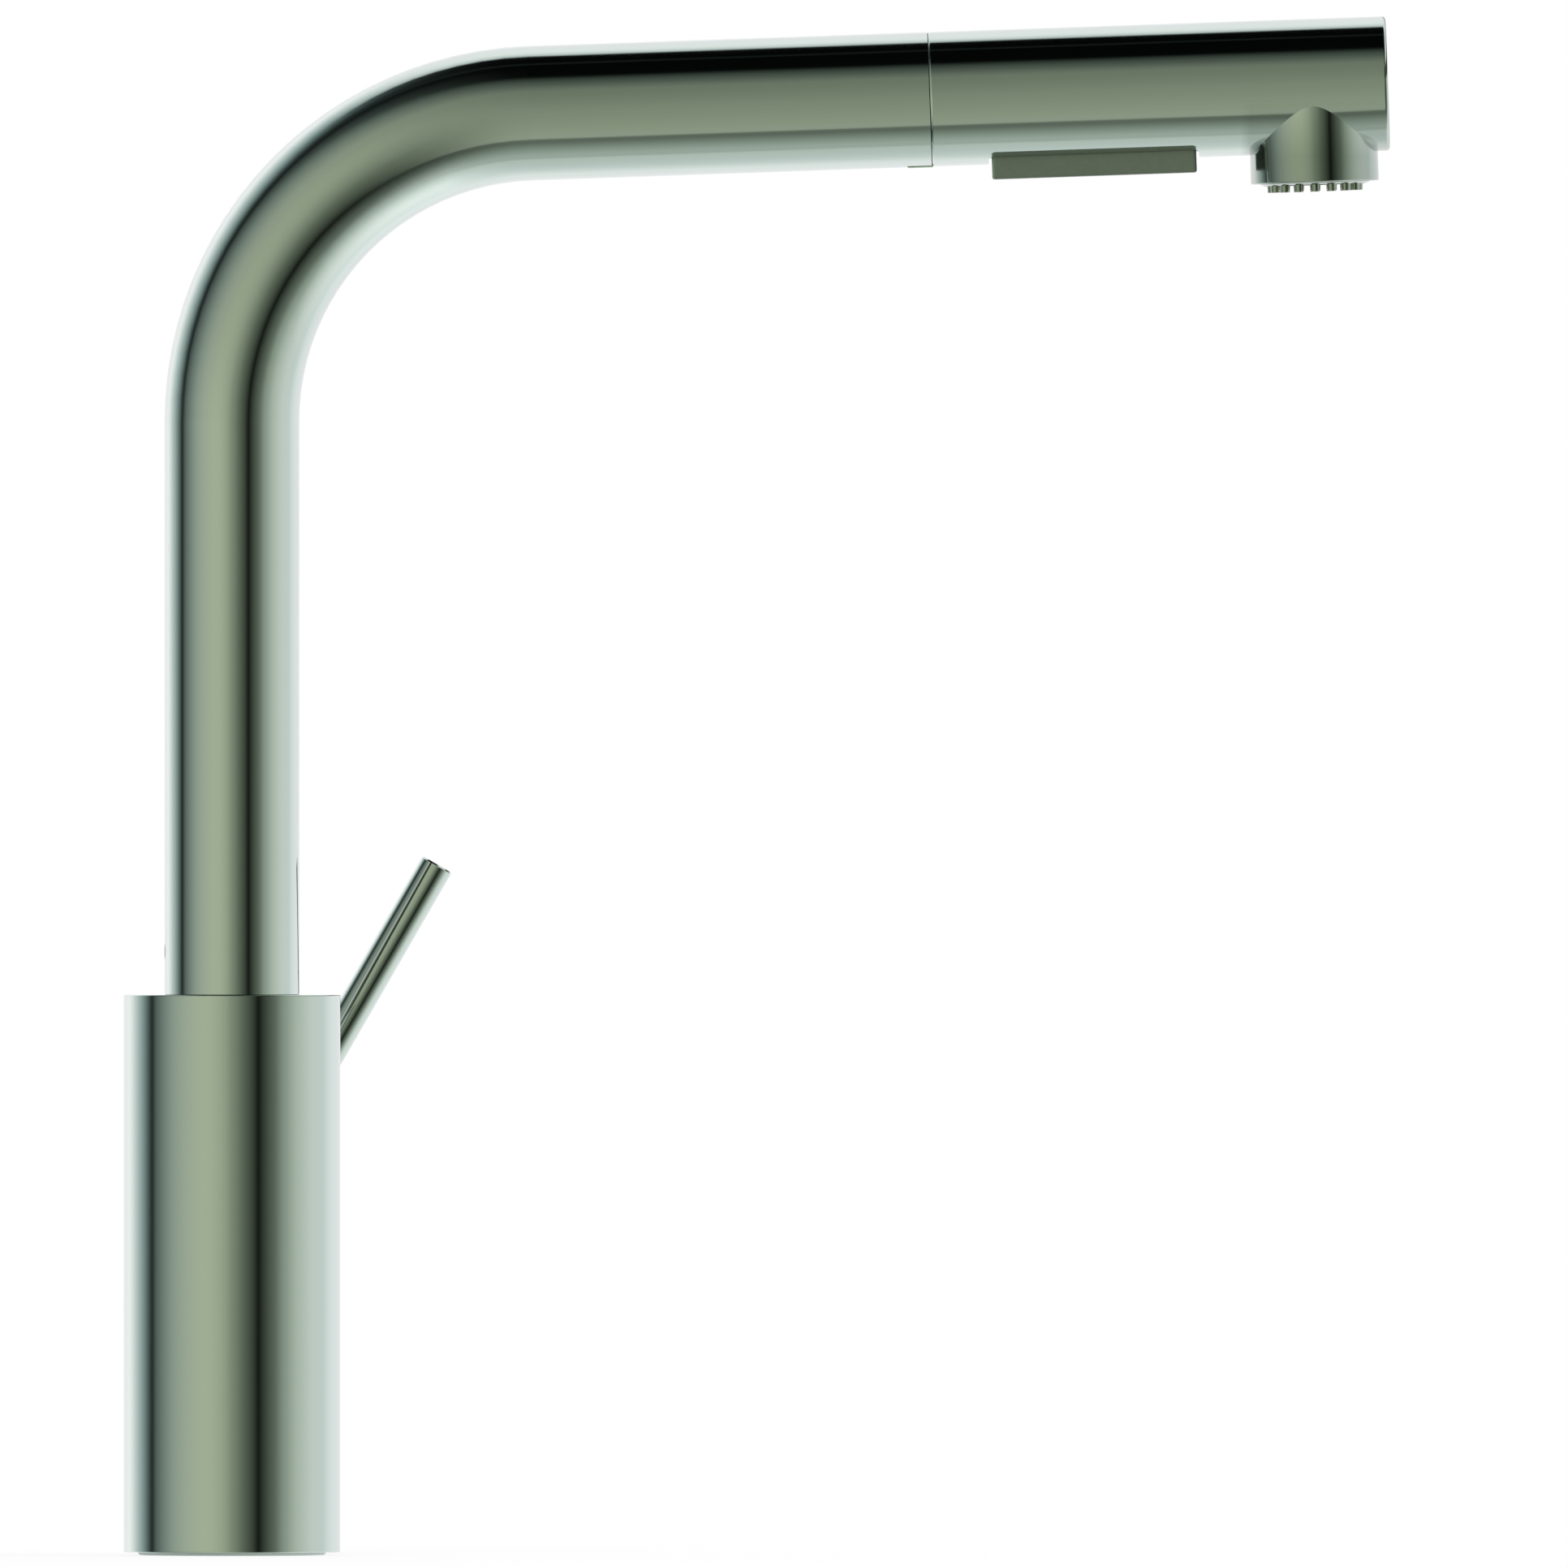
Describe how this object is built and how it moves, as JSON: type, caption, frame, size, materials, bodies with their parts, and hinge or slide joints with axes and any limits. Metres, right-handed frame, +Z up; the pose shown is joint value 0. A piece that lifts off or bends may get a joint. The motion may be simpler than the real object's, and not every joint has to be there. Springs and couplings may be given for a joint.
{
  "type": "kitchen mixer tap with pull-out spray",
  "caption": "Single-lever kitchen mixer with an upright round body, an L-shaped swivel spout and a pull-out spray head with a nozzle collar and a spray button.",
  "frame": {"origin": "on the deck, on the body's axis, at the foot of the base gasket", "axes": "+Z up along the body and riser, +X along the spout towards the nozzle, +Y towards the lever's side"},
  "size_m": [0.2631, 0.0775, 0.3198],
  "materials": {
    "satin_steel": "satin, fine straight grain",
    "bright_steel": "bright turned",
    "brass": "machined",
    "ceramic": "lapped ceramic",
    "white_plastic": "moulded",
    "black_plastic": "moulded",
    "grey_plastic": "moulded",
    "olive_plastic": "fine matt texture",
    "black_rubber": "matt",
    "grey_rubber": "matt",
    "grey_silicone": "smooth silicone",
    "grey_hose": "braided nylon sleeve"
  },
  "bodies": {
    "base": {"base_gasket": "grey_rubber", "body_shell": "satin_steel", "valve_block": "brass", "swivel_post": "brass", "hose_guide": "white_plastic", "slide_washer": "black_plastic", "cartridge_housing": "satin_steel", "housing_seal": "black_rubber", "cartridge_base": "black_plastic", "port_seals": "black_rubber", "fixed_disc": "ceramic", "cartridge_case": "white_plastic", "cartridge_nut": "brass", "dome_cover": "satin_steel"},
    "mixer_turn": {"turn_carrier": "white_plastic", "stem_pin": "bright_steel"},
    "disc": {"moving_disc": "ceramic", "disc_driver": "black_plastic"},
    "lever": {"cartridge_stem": "brass", "lever_hub": "satin_steel", "lever_pin": "satin_steel", "hub_screw": "bright_steel", "hub_cap": "satin_steel"},
    "spout": {"spout_tube": "satin_steel", "swivel_bush": "white_plastic", "spout_screw": "bright_steel", "docking_bush": "black_plastic", "spout_hose": "grey_hose"},
    "spray_head": {"head_shell": "satin_steel", "end_cap": "satin_steel", "docking_nose": "olive_plastic", "hose_fitting": "brass", "head_hose": "grey_hose", "filter_washer": "black_rubber", "check_valve": "white_plastic", "waterway": "black_plastic", "spray_membrane": "grey_silicone", "spray_face": "grey_plastic", "aerator_housing": "grey_plastic", "aerator_screen": "white_plastic", "aerator_seal": "black_rubber", "button_spring": "bright_steel"},
    "button": {"mode_button": "olive_plastic", "diverter_spindle": "bright_steel", "spindle_seals": "black_rubber"}
  },
  "joints": [
    {"name": "spout_swivel", "type": "hinge", "parent": "base", "child": "spout", "pos_m": [0, 0, 0.13], "axis": [0, 0, 1], "range_deg": [-70, 70]},
    {"name": "spray_pull", "type": "slide", "parent": "spout", "child": "spray_head", "axis": [0.9994, 0, 0.0349], "range_m": [0, 0.07]},
    {"name": "button_press", "type": "slide", "parent": "spray_head", "child": "button", "axis": [-0.0349, 0, 0.9994], "range_m": [0, 0.002], "stiffness_N_per_m": 600, "springref_m": -0.003, "deforming": ["button_spring"]},
    {"name": "lever_turn", "type": "hinge", "parent": "base", "child": "mixer_turn", "pos_m": [0, 0.036, 0.07], "axis": [0, 1, 0], "range_deg": [-45, 45]},
    {"name": "lever_tilt", "type": "hinge", "parent": "mixer_turn", "child": "lever", "pos_m": [0, 0.036, 0.07], "axis": [-0.866, 0, 0.5], "range_deg": [0, 20]},
    {"name": "disc_slide", "type": "slide", "parent": "mixer_turn", "child": "disc", "axis": [0.5, 0, 0.866], "range_m": [0, 0.0039]}
  ],
  "couplings": [
    {"joint": "disc_slide", "follows": "lever_tilt", "m_per_rad": 0.0108}
  ]
}
